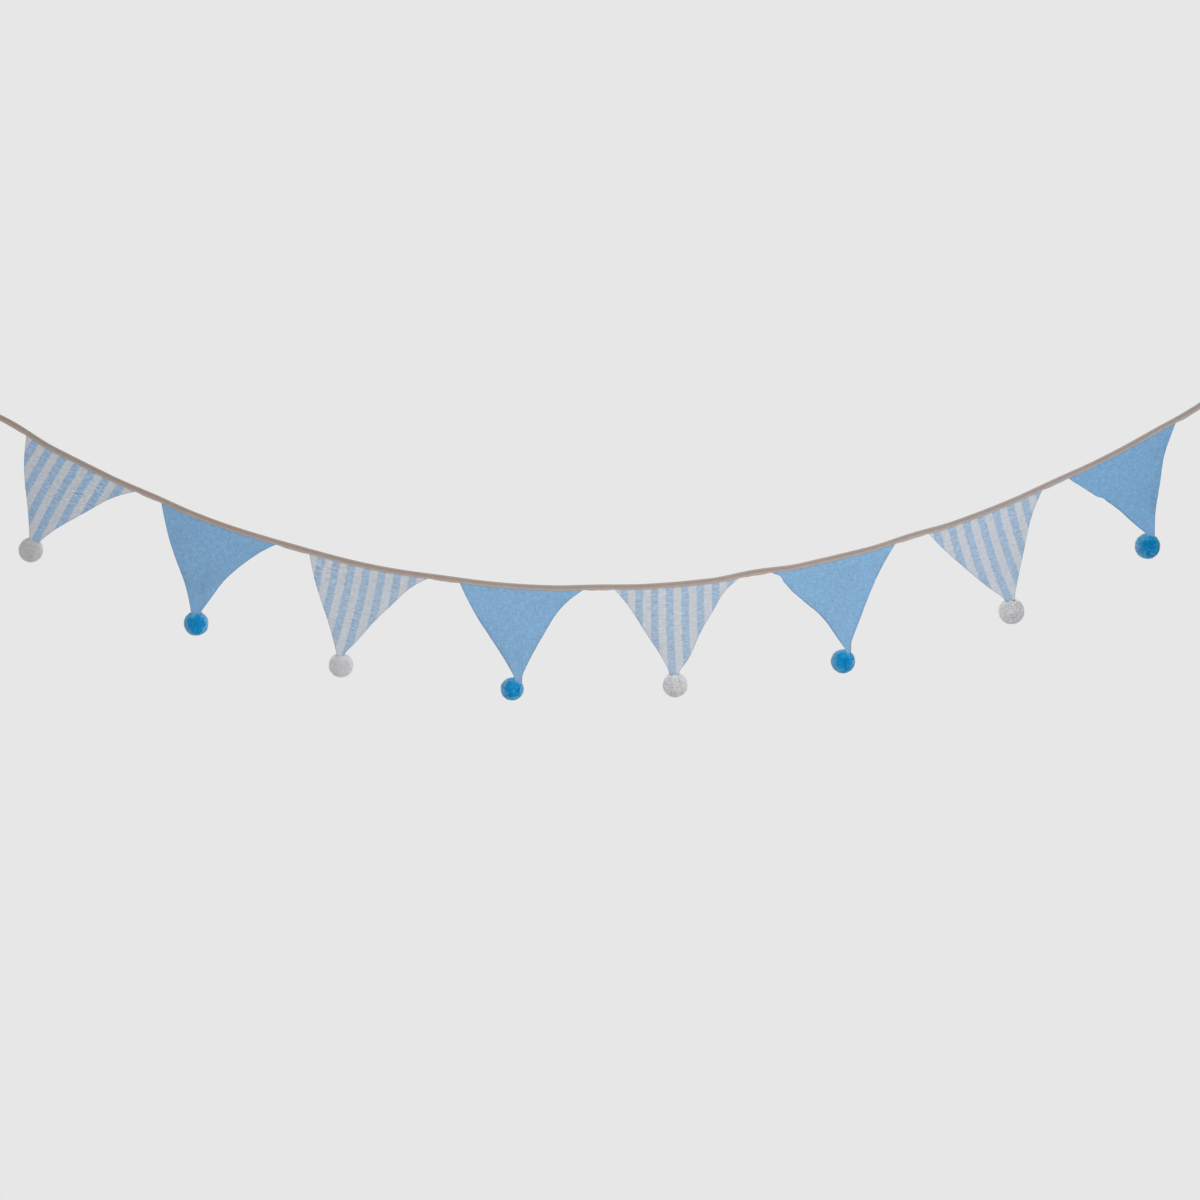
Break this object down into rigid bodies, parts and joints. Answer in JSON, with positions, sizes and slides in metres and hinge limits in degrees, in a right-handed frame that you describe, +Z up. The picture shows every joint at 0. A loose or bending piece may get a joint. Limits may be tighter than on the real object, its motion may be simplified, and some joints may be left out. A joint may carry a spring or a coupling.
{
  "type": "fabric bunting",
  "caption": "Pennant bunting: striped and plain blue cloth triangles sewn into a folded taupe tape that hangs in a shallow curve, each with a yarn pompom at its tip.",
  "frame": {"origin": "left end of the tape, on its top fold", "axes": "+X along the bunting to the right, +Z up, with the viewer on the -Y side and the pompoms behind the cloth"},
  "size_m": [1.9769, 0.0427, 0.4956],
  "materials": {
    "tape_cotton": "matt taupe cotton tape, folded and sewn",
    "striped_cotton": "light blue and off-white striped cotton",
    "plain_linen": "mid blue linen-look cotton",
    "grey_white_yarn": "grey-white cut yarn",
    "blue_yarn": "bright blue cut yarn"
  },
  "bodies": {
    "root": {"tape": "tape_cotton", "flag_1": "striped_cotton", "flag_2": "plain_linen", "flag_3": "striped_cotton", "flag_4": "plain_linen", "flag_5": "striped_cotton", "flag_6": "plain_linen", "flag_7": "striped_cotton", "flag_8": "plain_linen", "pompom_1": "grey_white_yarn", "pompom_2": "blue_yarn", "pompom_3": "grey_white_yarn", "pompom_4": "blue_yarn", "pompom_5": "grey_white_yarn", "pompom_6": "blue_yarn", "pompom_7": "grey_white_yarn", "pompom_8": "blue_yarn"}
  },
  "joints": []
}
